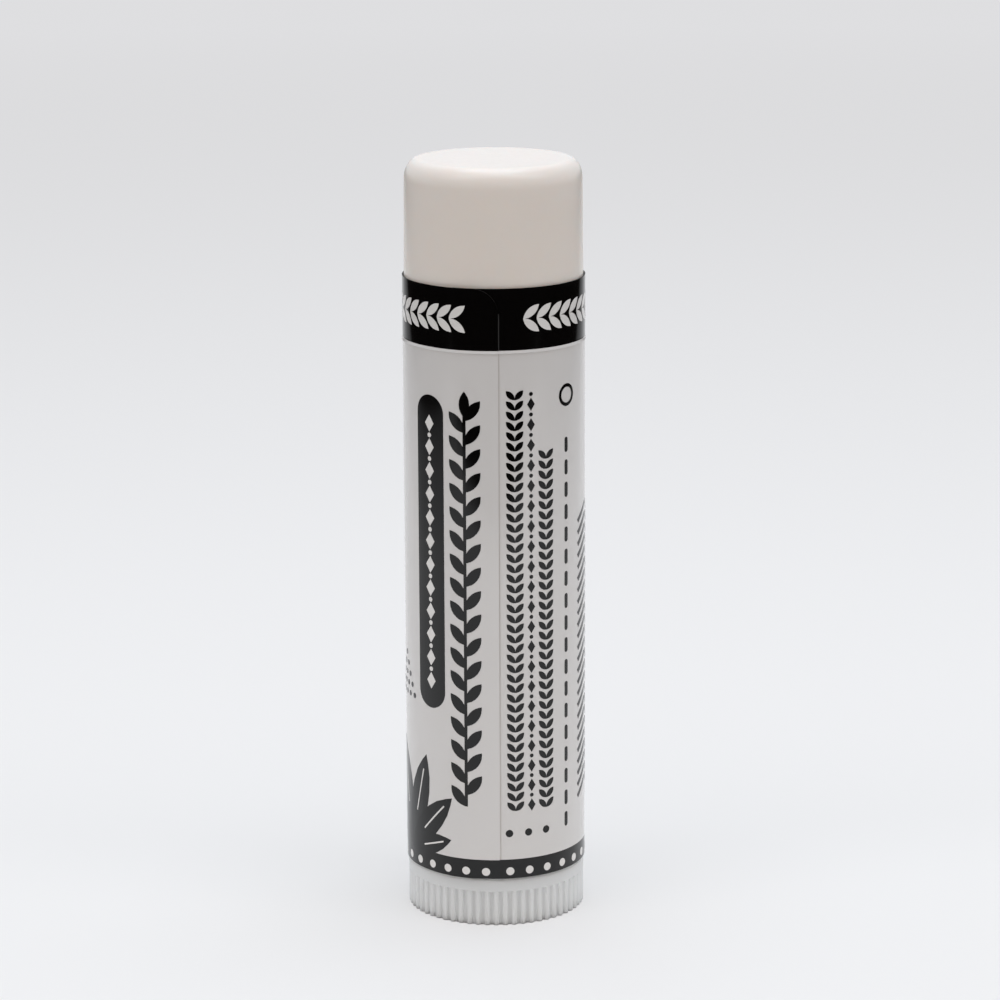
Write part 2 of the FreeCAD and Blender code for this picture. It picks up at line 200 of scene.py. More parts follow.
class LipBalmSettings(bpy.types.PropertyGroup):
    """All settings of the lip balm stick"""
    cap: PointerProperty(type=CapSettings)
    wrap: PointerProperty(type=WrapSettings)
    pattern: PointerProperty(type=PrintSettings)
    balm: PointerProperty(type=BalmSettings)
    finish: PointerProperty(type=FinishSettings)
    stage: PointerProperty(type=StageSettings)


# Selecting and finishing

def only(*pieces):
    """Selects these objects alone and makes the first one active."""
    bpy.ops.object.select_all(action="DESELECT")
    for piece in pieces:
        piece.select_set(True)
    bpy.context.view_layer.objects.active = pieces[0]


def named(name):
    """The object just made, under its own name and with its place put into its mesh."""
    piece = bpy.context.object
    piece.name = name
    piece.data.name = name
    bpy.ops.object.transform_apply(location=True, rotation=True, scale=True)
    return piece


def pick(kind, test):
    """In edit mode, selects only the verts, edges or faces that pass the test."""
    bpy.ops.mesh.select_mode(type={"verts": "VERT", "edges": "EDGE", "faces": "FACE"}[kind])
    bpy.ops.mesh.select_all(action="DESELECT")
    mesh = bmesh.from_edit_mesh(bpy.context.object.data)
    mesh.normal_update()
    found = [item for item in getattr(mesh, kind) if test(item)]
    if not found:
        raise RuntimeError(f"{bpy.context.object.name} has no such {kind}")
    for item in found:
        item.select_set(True)
    mesh.select_flush_mode()
    bmesh.update_edit_mesh(bpy.context.object.data)


def height_of(item):
    """Height of a level edge or face, or None where its corners differ in height."""
    heights = [corner.co.z for corner in item.verts]
    level = max(heights) - min(heights) < NEAR
    return heights[0] if level else None


def at_height(height):
    """A test for edges or faces that lie level at a height."""
    def test(item):
        found = height_of(item)
        return found is not None and abs(found - height) < NEAR
    return test


def raise_face(rise):
    """In edit mode, extrudes the selected face straight up, or down where the rise is negative."""
    bpy.ops.mesh.extrude_region_move(TRANSFORM_OT_translate={"value": (0, 0, rise)})


def narrow_face(radius, less):
    """In edit mode, makes a selected level face of this radius narrower about the axis."""
    share = (radius - less) / radius
    bpy.ops.transform.resize(value=(share, share, 1))


def apply_modifier(piece, kind, **settings):
    """Puts a modifier on a piece and applies it."""
    modifier = piece.modifiers.new(kind.title(), kind)
    for name, value in settings.items():
        setattr(modifier, name, value)
    only(piece)
    bpy.ops.object.modifier_apply(modifier=modifier.name)


def finish_piece(piece, body, slot, *materials, smooth=30):
    """Gives a piece its materials and shading, and lets it ride on its body."""
    for material in materials:
        piece.data.materials.append(material)
    only(piece)
    bpy.ops.object.shade_smooth_by_angle(angle=math.radians(smooth))
    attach(piece, body)


# Materials

def add_node(tree, kind, inputs=None, **settings):
    """Adds a node with its settings, and fills its inputs with values or other nodes' outputs."""
    node = tree.nodes.new(kind)
    for name, value in settings.items():
        setattr(node, name, value)
    for name, value in (inputs or {}).items():
        if isinstance(value, bpy.types.NodeSocket):
            tree.links.new(value, node.inputs[name])
        else:
            node.inputs[name].default_value = value
    return node


def new_material(name):
    """An empty material and its node tree."""
    material = bpy.data.materials.new(name)
    material.use_nodes = True
    material.node_tree.nodes.clear()
    return material, material.node_tree


def opaque(shares):
    """A colour with full alpha."""
    return (*shares, 1)


def spread(start, stop, first=0.0, last=1.0):
    """Inputs that take a Map Range node from first to last while its value goes from start to stop."""
    return {"From Min": start, "From Max": stop, "To Min": first, "To Max": last}


def surface(name, base, cloud, grain, bump, roughness, ior, sink=None):
    """A Principled surface with faint clouds in its colour and a grain in its gloss and relief.

    Cloud and grain are the widths of one patch in metres, bump is the grain's height, and roughness
    is its lowest and highest value. Sink is for light that sinks in: its share, how far each colour
    goes, and how deep. A real moulding's grain is finer than a pixel, so it is drawn coarser to show.
    """
    if name in bpy.data.materials:
        return bpy.data.materials[name]
    material, tree = new_material(name)
    place = add_node(tree, "ShaderNodeTexCoord").outputs["Object"]
    clouds = add_node(tree, "ShaderNodeTexNoise", {"Vector": place, "Scale": 1 / cloud, "Detail": 3.0})
    grains = add_node(tree, "ShaderNodeTexNoise", {"Vector": place, "Scale": 1 / grain, "Detail": 2.0})
    shade = [CLOUD_SHADE * share for share in base]
    tint = add_node(tree, "ShaderNodeMix", {MIX_SHARE: clouds.outputs[0], MIX_FIRST: opaque(shade),
                                            MIX_SECOND: opaque(base)}, data_type="RGBA")
    gloss = add_node(tree, "ShaderNodeMapRange", {"Value": grains.outputs[0], **spread(0, 1, *roughness)})
    relief = add_node(tree, "ShaderNodeBump", {"Height": grains.outputs[0], "Distance": bump,
                                               "Strength": 1.0})
    body = add_node(tree, "ShaderNodeBsdfPrincipled", {
        "Base Color": tint.outputs[MIX_RESULT], "Roughness": gloss.outputs["Result"],
        "Normal": relief.outputs["Normal"], "IOR": ior})
    if sink:
        for socket, value in zip(("Subsurface Weight", "Subsurface Radius", "Subsurface Scale"), sink):
            body.inputs[socket].default_value = value
    add_node(tree, "ShaderNodeOutputMaterial", {"Surface": body.outputs["BSDF"]})
    return material


def white_polypropylene(finish):
    """Moulded white polypropylene: satin and faintly waxy, with light that sinks in a little."""
    return surface("white_polypropylene", finish.cap, cloud=6 * MM, grain=0.35 * MM, bump=0.0012 * MM,
                   roughness=(0.20, 0.27), ior=1.49, sink=(0.5, (1.0, 0.8, 0.7), 0.7 * MM))


def tube_polypropylene(finish):
    """The same plastic on the tube and the cup, from a plainer mould: a little duller."""
    return surface("tube_polypropylene", finish.tube, cloud=6 * MM, grain=0.30 * MM, bump=0.0015 * MM,
                   roughness=(0.33, 0.42), ior=1.49, sink=(0.2, (1.0, 0.85, 0.7), 0.8 * MM))


def natural_polypropylene(finish):
    """Polypropylene with no pigment: milky, and lit through its edges and ribs."""
    return surface("natural_polypropylene", finish.wheel, cloud=4 * MM, grain=0.30 * MM, bump=0.0015 * MM,
                   roughness=(0.32, 0.42), ior=1.49, sink=(1.0, (1.0, 1.0, 1.0), 2.2 * MM))


# The faint ripple of a film pulled tight, and the dull cut edge of that film
FILM_SKIN = {"cloud": 9 * MM, "grain": 2.4 * MM, "bump": 0.001 * MM}
CUT_EDGE = {"cloud": 2 * MM, "grain": 0.2 * MM, "bump": 0.001 * MM, "roughness": (0.45, 0.6), "ior": 1.47}


def white_film(finish):
    """White polypropylene label film: a smooth gloss with a faint ripple."""
    return surface("white_label_film", finish.film, roughness=(0.05, 0.09), ior=1.50, **FILM_SKIN)


def black_ink(finish):
    """Black ink under the film's varnish: as glossy as the film, and nearly without colour."""
    return surface("black_varnished_ink", finish.black, roughness=(0.05, 0.09), ior=1.43, **FILM_SKIN)


def white_ink(finish):
    """White ink under the same varnish, printed on the black: a shade brighter than the film."""
    return surface("white_varnished_ink", finish.white, roughness=(0.07, 0.12), ior=1.50, **FILM_SKIN)


def shaded_film_edge(finish):
    """Cut edge of the film and the label's hairline of glue: a grey below the film's white, partly the
    glue's own tone and partly painted shade on the edge and along the seam.
    """
    return surface("film_cut_edge", finish.edge, **CUT_EDGE)


def inked_edge(finish):
    """The same edge where the film is black: a dark grey, duller than the ink."""
    return surface("inked_cut_edge", finish.inked_edge, **CUT_EDGE)


def beeswax_balm(finish):
    """Poured beeswax balm: cream, waxy and deep, with a soft skin that shows small pits."""
    return surface("beeswax_balm", finish.balm, cloud=3 * MM, grain=0.6 * MM, bump=0.006 * MM,
                   roughness=(0.38, 0.55), ior=1.44, sink=(0.5, (1.0, 0.8, 0.5), 1.2 * MM))


# Flat work: film and print are drawn flat on the XZ plane and then rolled round the tube

def seam_arc(wrap):
    """Arc length from the front to the seam."""
    return wrap.seam * FILM_RADIUS


def film_rise(wrap, along):
    """How far the film stands off a single layer, at a length along the sheet."""
    climb = seam_arc(wrap) + ROUND - wrap.overlap - wrap.ramp
    share = min(max((along - climb) / wrap.ramp, 0), 1)
    return share * share * (3 - 2 * share) * (wrap.thickness + wrap.glue)


def outer_layer(wrap, arc):
    """Length along the sheet of what shows at an arc length from the front."""
    return arc if arc >= seam_arc(wrap) else arc + ROUND


def lift(piece, rise):
    """Moves a flat piece outwards by a rise that depends on where it is along the sheet."""
    for vertex in piece.data.vertices:
        vertex.co.y -= rise(vertex.co.x)


def cut_columns(piece, begin, end, count):
    """Cuts a flat piece into upright columns, so that it can be rolled."""
    only(piece)
    bpy.ops.object.mode_set(mode="EDIT")
    for number in range(1, count):
        bpy.ops.mesh.select_all(action="SELECT")
        bpy.ops.mesh.bisect(plane_co=(begin + (end - begin) * number / count, 0, 0), plane_no=(1, 0, 0),
                            threshold=NEAR)
    bpy.ops.object.mode_set(mode="OBJECT")


def roll_up(piece, thickness, **solid):
    """Rolls a flat piece round the upright axis, its zero to the front, and gives it its thickness."""
    across = [vertex.co.x for vertex in piece.data.vertices]
    apply_modifier(piece, "SIMPLE_DEFORM", deform_method="BEND", deform_axis="Z",
                   angle=(max(across) - min(across)) / FILM_RADIUS)
    bpy.ops.transform.translate(value=(0, -FILM_RADIUS, 0))
    bpy.ops.object.transform_apply(location=True, rotation=False, scale=False)
    apply_modifier(piece, "SOLIDIFY", thickness=thickness, offset=-1, **solid)


def film_sheet(name, wrap, foot, top, corner_height, ink_line, materials, flare=0):
    """A rolled sheet of film with one rounded corner at its outer end, inked on one side of a line.

    The corner is at corner_height, and the ink lies between ink_line and that end of the sheet. The
    materials are the film's, the ink's, and those of their cut edges. The foot flares out by flare.
    """
    begin = seam_arc(wrap) - wrap.overlap
    end = seam_arc(wrap) + ROUND
    bpy.ops.object.select_all(action="DESELECT")
    bpy.ops.mesh.primitive_plane_add(size=1, location=((begin + end) / 2, 0, (foot + top) / 2),
                                     rotation=UPRIGHT)
    bpy.context.object.scale = (end - begin, top - foot, 1)
    sheet = named(name)
    bpy.ops.object.mode_set(mode="EDIT")
    pick("verts", lambda v: v.co.x > begin + wrap.overlap and abs(v.co.z - corner_height) < NEAR)
    bpy.ops.mesh.bevel(offset=wrap.corner, segments=10, affect="VERTICES")
    cuts = [ink_line]
    if flare:
        cuts.append(ink_line + wrap.seal_crease)
    for height in cuts:
        bpy.ops.mesh.select_all(action="SELECT")
        bpy.ops.mesh.bisect(plane_co=(0, 0, height), plane_no=(0, 0, 1), threshold=NEAR)
    bpy.ops.object.mode_set(mode="OBJECT")
    cut_columns(sheet, begin, end, wrap.columns)
    for material in materials:
        sheet.data.materials.append(material)
    bpy.ops.object.mode_set(mode="EDIT")
    pick("faces", lambda f: (f.calc_center_median().z > ink_line) == (corner_height > ink_line))
    sheet.active_material_index = 1
    bpy.ops.object.material_slot_assign()
    bpy.ops.object.mode_set(mode="OBJECT")
    lift(sheet, lambda along: film_rise(wrap, along))
    for vertex in sheet.data.vertices:
        if vertex.co.z < foot + NEAR:
            vertex.co.y -= flare
    # The back stays white, and each cut edge takes the edge's material two places on, whose grey on the
    # white film is painted shade
    roll_up(sheet, wrap.thickness, material_offset=-1, material_offset_rim=2)
    return sheet


def bar_shape():
    """An upright square, one unit wide."""
    bpy.ops.object.select_all(action="DESELECT")
    bpy.ops.mesh.primitive_plane_add(size=1, rotation=UPRIGHT)
    return named("bar_shape")


def round_shape(corners):
    """An upright disc, one unit across; with four corners it is a lozenge."""
    bpy.ops.object.select_all(action="DESELECT")
    bpy.ops.mesh.primitive_circle_add(vertices=corners, radius=0.5, fill_type="NGON", rotation=UPRIGHT)
    return named("round_shape")


def ring_shape(corners, line):
    """A ring one unit across, drawn with a line that is a share of that width."""
    ring = round_shape(corners)
    bpy.ops.object.mode_set(mode="EDIT")
    bpy.ops.mesh.select_all(action="SELECT")
    bpy.ops.mesh.inset(thickness=line)
    bpy.ops.mesh.delete(type="FACE")
    bpy.ops.object.mode_set(mode="OBJECT")
    return ring


def leaf_shape():
    """A pointed leaf, one unit long and one unit wide, standing up: a lozenge with rounded sides."""
    beside = 0.25                                    # only the lozenge's side corners are past this
    leaf = round_shape(4)
    bpy.ops.object.mode_set(mode="EDIT")
    pick("verts", lambda v: abs(v.co.x) > beside)
    bpy.ops.mesh.bevel(offset_type="PERCENT", offset_pct=84, segments=6, affect="VERTICES")
    bpy.ops.object.mode_set(mode="OBJECT")
    leaf.scale.x = 1 / leaf.dimensions.x
    bpy.ops.object.transform_apply(location=False, rotation=False, scale=True)
    return leaf


def leaf_mark(across, up, reach, width, lean):
    """The mark of a leaf that grows from a point."""
    return (across + reach / 2 * math.sin(lean), up + reach / 2 * math.cos(lean), width, reach, lean)


def upright_row(across, start, step, count, size):
    """The marks of an upright row."""
    return [(across, start + step * number, *size, 0) for number in range(count)]


def stamp(shape, marks):
    """Copies a flat shape to each (across, up, width, height, lean) mark, and removes the shape.

    Neighbours lie a hair over each other, so that no two faces share a place where they overlap.
    """
    copies = []
    for number, (across, up, width, height, lean) in enumerate(marks):
        only(shape)
        bpy.ops.object.duplicate()
        copy = bpy.context.object
        copy.location = (across, -STACK * (number % LEVELS), up)
        copy.scale = (width, 1, height)
        copy.rotation_euler = (0, lean, 0)
        copies.append(copy)
    only(shape)
    bpy.ops.object.delete()
    return copies


def printed(context, name, shape, marks, body, slot, material, layers=1, rounding=0, round_steps=3):
    """Prints a flat shape at its marks, as one piece that is rolled round the film.

    It stands out by a number of layers of ink and is two layers thick. Its corners may be rounded.
    """
    settings = context.scene.lip_balm
    ink = settings.pattern.ink
    only(*stamp(shape, marks))
    bpy.ops.object.join()
    piece = named(name)
    if rounding:
        bpy.ops.object.mode_set(mode="EDIT")
        bpy.ops.mesh.select_all(action="SELECT")
        bpy.ops.mesh.bevel(offset=rounding, segments=round_steps, affect="VERTICES")
        bpy.ops.object.mode_set(mode="OBJECT")
    across = [vertex.co.x for vertex in piece.data.vertices]
    columns = max(2, round((max(across) - min(across)) / settings.pattern.column))
    cut_columns(piece, min(across), max(across), columns)
    lift(piece, lambda arc: film_rise(settings.wrap, outer_layer(settings.wrap, arc)) + layers * ink)
    roll_up(piece, 2 * ink)
    finish_piece(piece, body, slot, material)


def label_print(context, name, shape, marks, material, **how):
    """Prints a flat shape at its marks on the label."""
    printed(context, name, shape, marks, "tube", "label_film", material, **how)


# Pieces

class LIPBALM_OT_cap(bpy.types.Operator):
    """Models the cap: a tapered shell with a soft crown, open below"""
    bl_idname = "lip_balm.cap"
    bl_label = "Cap"

    def execute(self, context):
        settings = context.scene.lip_balm
        cap = settings.cap
        mouth = CAP_HIGH.x
        underside = CAP_HIGH.z - cap.crown
        bpy.ops.object.select_all(action="DESELECT")
        bpy.ops.mesh.primitive_cylinder_add(vertices=cap.sides, radius=mouth, depth=CAP_HIGH.z - CAP_LOW.z,
                                            location=(0, 0, (CAP_LOW.z + CAP_HIGH.z) / 2))
        shell = named("cap_shell")
        bpy.ops.object.mode_set(mode="EDIT")
        pick("faces", at_height(CAP_HIGH.z))
        narrow_face(mouth, cap.taper)
        pick("edges", at_height(CAP_HIGH.z))
        bpy.ops.mesh.bevel(offset=cap.crown_round, segments=12, affect="EDGES")
        pick("verts", lambda v: v.co.z > CAP_HIGH.z - cap.crown_round - NEAR)
        bpy.ops.transform.resize(value=(1, 1, cap.crown_drop / cap.crown_round),
                                 center_override=(0, 0, CAP_HIGH.z))
        pick("faces", lambda f: f.normal.z > STRAIGHT_UP)
        bpy.ops.mesh.inset(thickness=cap.crown_ring)
        pick("faces", at_height(CAP_LOW.z))
        bpy.ops.mesh.inset(thickness=cap.wall)
        raise_face(cap.land)
        raise_face(underside - CAP_LOW.z - cap.land)
        narrow_face(mouth - cap.wall, cap.bore_taper)
        pick("edges", at_height(CAP_LOW.z))
        bpy.ops.mesh.bevel(offset=cap.small_round, segments=4, affect="EDGES")
        bpy.ops.object.mode_set(mode="OBJECT")
        finish_piece(shell, "cap", "cap_plastic", white_polypropylene(settings.finish))
        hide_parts("cap")
        return {"FINISHED"}


class LIPBALM_OT_wrap(bpy.types.Operator):
    """Wraps the label round the tube and the seal round the cap, each lapped at the front"""
    bl_idname = "lip_balm.wrap"
    bl_label = "Label and seal"

    def execute(self, context):
        settings = context.scene.lip_balm
        wrap = settings.wrap
        # The first of these greys the white film's cut edges and the label's glue line as painted shade
        edges = (shaded_film_edge(settings.finish), inked_edge(settings.finish))
        materials = (white_film(settings.finish), black_ink(settings.finish), *edges)
        label_ink = LABEL_LOW.z + wrap.border
        label = film_sheet("label_film", wrap, LABEL_LOW.z, TEAR_LINE - wrap.tear_gap / 2,
                           LABEL_LOW.z, label_ink, materials)
        finish_piece(label, "tube", "label_film")
        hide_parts("body_label")
        seal_foot = TEAR_LINE + wrap.tear_gap / 2
        seal_ink = seal_foot + wrap.seal_strip
        seal = film_sheet("seal_film", wrap, seal_foot, SEAL_HIGH.z, SEAL_HIGH.z, seal_ink, materials,
                          flare=wrap.seal_flare)
        finish_piece(seal, "cap", "seal_film")
        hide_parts("seal_band")
        self.glue_line(context, "tube", "label_film", label_ink, TEAR_LINE, edges[0])
        self.glue_line(context, "cap", "seal_film", seal_ink, SEAL_HIGH.z - wrap.corner, edges[1])
        return {"FINISHED"}

    def glue_line(self, context, body, slot, foot, top, material):
        """The hairline of glue that shows beside the outer end of the film, lower than ink. On the label it
        takes the white film's edge grey, which is painted shade along the seam.
        """
        wrap = context.scene.lip_balm.wrap
        across = seam_arc(wrap) + wrap.glue_line / 2
        line = [(across, (foot + top) / 2, wrap.glue_line, top - foot, 0)]
        printed(context, slot + "_glue", bar_shape(), line, body, slot, material, layers=GLUE_LAYERS)


class LIPBALM_OT_border(bpy.types.Operator):
    """Prints the white dots of the border at the label's foot"""
    bl_idname = "lip_balm.border"
    bl_label = "Border"

    def execute(self, context):
        settings = context.scene.lip_balm
        pattern = settings.pattern
        size = pattern.border_dot
        step = (ROUND - pattern.border_join) / (pattern.border_dots - 1)
        start = seam_arc(settings.wrap) + pattern.border_start
        below_middle = 0.38                          # height of the dots, as a share of the border's
        height = LABEL_LOW.z + below_middle * settings.wrap.border
        dots = [(start + step * number, height, size, size, 0) for number in range(pattern.border_dots)]
        label_print(context, "border_dots", round_shape(20), dots, white_ink(settings.finish))
        return {"FINISHED"}


class LIPBALM_OT_sprigs(bpy.types.Operator):
    """Prints the upright sprigs, which have leaves on alternate sides of a stem"""
    bl_idname = "lip_balm.sprigs"
    bl_label = "Sprigs"

    def execute(self, context):
        pattern = context.scene.lip_balm.pattern
        leaf = (pattern.leaf_length, pattern.leaf_width)
        foot = 11.0 * MM
        top = 47.0 * MM
        leaf_step = 1.05 * MM
        left_of_front = 2.6 * MM
        beside_wreath = 8.2 * MM
        back = ROUND / 2
        leaves = []
        stems = []
        for across in (-left_of_front, back - beside_wreath, back + beside_wreath):
            stems.append((across, (foot + top) / 2, pattern.stem, top - foot, 0))
            for number in range(round((top - foot) / leaf_step)):
                lean = pattern.leaf_lean * (1 if number % 2 else -1)
                leaves.append(leaf_mark(across, foot + leaf_step * number, *leaf, lean))
            leaves.append(leaf_mark(across, top - leaf_step, *leaf, 0))
        black = black_ink(context.scene.lip_balm.finish)
        label_print(context, "sprig_leaves", leaf_shape(), leaves, black)
        label_print(context, "sprig_stems", bar_shape(), stems, black, layers=UNDER)
        return {"FINISHED"}


class LIPBALM_OT_pill(bpy.types.Operator):
    """Prints the rounded black panel with a string of white lozenges and dots"""
    bl_idname = "lip_balm.pill"
    bl_label = "Rounded panel"

    def execute(self, context):
        finish = context.scene.lip_balm.finish
        across = -6.2 * MM
        width = 3.2 * MM
        foot = 19.5 * MM
        top = 47.6 * MM
        end_round = 0.499 * width                    # a hair under half, so that the corners don't meet
        step = 2.1 * MM
        lozenge = (1.05 * MM, 1.5 * MM)
        dot = (0.42 * MM, 0.42 * MM)
        middle = (foot + top) / 2
        count = round((top - foot) / step) - 1
        start = middle - step * (count - 1) / 2
        ground = [(across, middle, width, top - foot, 0)]
        lozenges = upright_row(across, start, step, count, lozenge)
        dots = upright_row(across, start + step / 2, step, count - 1, dot)
        white = white_ink(finish)
        label_print(context, "panel_ground", bar_shape(), ground, black_ink(finish), rounding=end_round,
                    round_steps=10)
        label_print(context, "panel_lozenges", round_shape(4), lozenges, white, layers=OVER)
        label_print(context, "panel_dots", round_shape(16), dots, white, layers=OVER)
        return {"FINISHED"}


class LIPBALM_OT_rows(bpy.types.Operator):
    """Prints the fine upright rows to the right of the seam: small leaves, lozenges and dashes"""
    bl_idname = "lip_balm.rows"
    bl_label = "Fine rows"

    def execute(self, context):
        black = black_ink(context.scene.lip_balm.finish)
        foot = 10.6 * MM
        top = 48.6 * MM
        short_top = 43.2 * MM
        first_row = 1.78 * MM
        second_row = 3.26 * MM
        third_row = 4.74 * MM
        last_row = 7.14 * MM
        pitch = 0.9 * MM
        leaf = (1.12 * MM, 0.52 * MM)
        leaf_lean = 0.75
        lozenge = (0.72 * MM, 1.15 * MM)
        dot = (0.36 * MM, 0.36 * MM)
        dash = (0.42 * MM, 1.35 * MM)
        dash_round = 0.2 * MM
        dash_foot = 9.0 * MM
        dash_step = 2.0 * MM
        dash_count = 18
        leaves = []
        for across, row_top in ((first_row, top), (third_row, short_top)):
            for number in range(round((row_top - foot) / pitch)):
                for lean in (-leaf_lean, leaf_lean):
                    leaves.append(leaf_mark(across, foot + pitch * number, *leaf, lean))
        count = round((top - foot) / (2 * pitch))
        lozenges = upright_row(second_row, foot + pitch / 2, 2 * pitch, count, lozenge)
        dots = upright_row(second_row, foot + 3 * pitch / 2, 2 * pitch, count, dot)
        dashes = upright_row(last_row, dash_foot, dash_step, dash_count, dash)
        label_print(context, "row_leaves", leaf_shape(), leaves, black)
        label_print(context, "row_lozenges", round_shape(4), lozenges, black)
        label_print(context, "row_dots", round_shape(12), dots, black)
        label_print(context, "row_dashes", bar_shape(), dashes, black, rounding=dash_round)
        return {"FINISHED"}


class LIPBALM_OT_chevrons(bpy.types.Operator):
    """Prints the upright braid of chevrons"""
    bl_idname = "lip_balm.chevrons"
    bl_label = "Chevrons"

    def execute(self, context):
        across = 11.4 * MM
        foot = 11.2 * MM
        pitch = 1.05 * MM
        count = 25
        bar_length = 2.4 * MM
        bar_width = 0.42 * MM
        lean = math.radians(56)
        gap = 0.3 * MM
        reach = (bar_length * math.sin(lean) + bar_width * math.cos(lean) + gap) / 2
        bars = []
        for number in range(count):
            for side in (-1, 1):
                bars.append((across + side * reach, foot + pitch * number, bar_width, bar_length,
                             -side * lean))
        label_print(context, "chevron_bars", bar_shape(), bars, black_ink(context.scene.lip_balm.finish))
        return {"FINISHED"}


class LIPBALM_OT_tuft(bpy.types.Operator):
    """Prints the tuft of broad leaves that grows out of the border, its veins and the dots over it"""
    bl_idname = "lip_balm.tuft"
    bl_label = "Tuft"

    def execute(self, context):
        settings = context.scene.lip_balm
        black = black_ink(settings.finish)
        across = -9.4 * MM
        rooted = 0.2 * MM                            # how deep the leaves start in the border
        up = LABEL_LOW.z + settings.wrap.border - rooted
        # Each leaf's lean in degrees, and its length and width in millimetres
        fan = ((-70, 6.0, 2.0), (-42, 8.2, 2.5), (-14, 10.0, 2.8), (15, 9.4, 2.7), (44, 7.8, 2.4),
               (72, 5.6, 1.9))
        vein_width = 0.14 * MM
        vein_middle = 0.62                           # these two are shares of the leaf's length
        vein_length = 0.45
        leaves = []
        veins = []
        for degrees, reach, width in fan:
            lean = math.radians(degrees)
            leaves.append(leaf_mark(across, up, reach * MM, width * MM, lean))
            middle = vein_middle * reach * MM
            veins.append((across + middle * math.sin(lean), up + middle * math.cos(lean), vein_width,
                          vein_length * reach * MM, lean))
        label_print(context, "tuft_leaves", leaf_shape(), leaves, black)
        label_print(context, "tuft_veins", bar_shape(), veins, white_ink(settings.finish), layers=OVER)
        self.dots(context, across, black)
        return {"FINISHED"}

    def dots(self, context, across, black):
        """The triangle of dots over the tuft."""
        left = across - 3.2 * MM
        foot = 20.0 * MM
        step = 0.95 * MM
        row_step = 0.9 * MM
        rows = 5
        size = 0.5 * MM
        dots = []
        for row in range(rows):
            for place in range(rows - row):
                dots.append((left + step * (place + row / 2), foot + row_step * row, size, size, 0))
        label_print(context, "tuft_dots", round_shape(14), dots, black)


class LIPBALM_OT_wreath(bpy.types.Operator):
    """Prints the back of the label: a wreath round a flower, with rules above and below"""
    bl_idname = "lip_balm.wreath"
    bl_label = "Wreath"

    def execute(self, context):
        black = black_ink(context.scene.lip_balm.finish)
        across = ROUND / 2
        up = 31.0 * MM
        ring = 4.3 * MM
        ring_line = 0.03                             # width of the hoop's line, as a share of the hoop's
        pairs = 14
        leaf = (1.8 * MM, 0.78 * MM)
        leaf_splay = 0.6
        petals = 8
        petal = (2.5 * MM, 0.95 * MM)
        rule_length = 10.5 * MM
        thick_rule = 0.5 * MM
        thin_rule = 0.18 * MM
        leaves = []
        for number in range(pairs):
            turn = 2 * math.pi * number / pairs
            for splay in (-leaf_splay, leaf_splay):
                leaves.append(leaf_mark(across + ring * math.sin(turn), up + ring * math.cos(turn), *leaf,
                                        turn + math.pi / 2 + splay))
        for number in range(petals):
            leaves.append(leaf_mark(across, up, *petal, 2 * math.pi * number / petals))
        hoop = [(across, up, 2 * ring, 2 * ring, 0)]
        rules = [(across, height * MM, rule_length, thickness, 0) for height, thickness in (
            (44.0, thick_rule), (42.9, thin_rule), (19.2, thin_rule), (18.1, thick_rule))]
        label_print(context, "wreath_leaves", leaf_shape(), leaves, black)
        label_print(context, "wreath_hoop", ring_shape(64, ring_line), hoop, black, layers=UNDER)
        label_print(context, "wreath_rules", bar_shape(), rules, black)
        return {"FINISHED"}


class LIPBALM_OT_dots(bpy.types.Operator):
    """Prints the three plain dots over the border and the ring over the row of dashes"""
    bl_idname = "lip_balm.dots"
    bl_label = "Plain dots"

    def execute(self, context):
        black = black_ink(context.scene.lip_balm.finish)
        first_dot = 1.2 * MM
        dot_step = 1.75 * MM
        dot_height = 8.55 * MM
        dot = 0.68 * MM
        ring_place = (7.2 * MM, 47.4 * MM)
        ring_width = 2.0 * MM
        ring_line = 0.15                             # width of the ring's line, as a share of the ring's
        dots = [(first_dot + dot_step * number, dot_height, dot, dot, 0) for number in range(3)]
        ring = [(*ring_place, ring_width, ring_width, 0)]
        label_print(context, "plain_dots", round_shape(20), dots, black)
        label_print(context, "plain_ring", ring_shape(28, ring_line), ring, black)
        return {"FINISHED"}


class LIPBALM_OT_seal_print(bpy.types.Operator):
    """Prints the garland of white leaves on the seal, which leaves the seam clear"""
    bl_idname = "lip_balm.seal_print"
    bl_label = "Seal print"

    def execute(self, context):
        settings = context.scene.lip_balm
        clear_right = 2.2 * MM
        clear_left = 2.6 * MM
        step = 1.25 * MM
        leaf = (1.9 * MM, 0.72 * MM)
        leaf_lean = 0.9
        up = (SEAL_LOW.z + settings.wrap.seal_strip + SEAL_HIGH.z) / 2
        start = seam_arc(settings.wrap) + clear_right
        stop = seam_arc(settings.wrap) + ROUND - clear_left
        leaves = []
        for number in range(round((stop - start) / step)):
            for lean in (leaf_lean, math.pi - leaf_lean):
                leaves.append(leaf_mark(start + step * number, up, *leaf, lean))
        printed(context, "seal_leaves", leaf_shape(), leaves, "cap", "seal_film",
                white_ink(settings.finish))
        return {"FINISHED"}


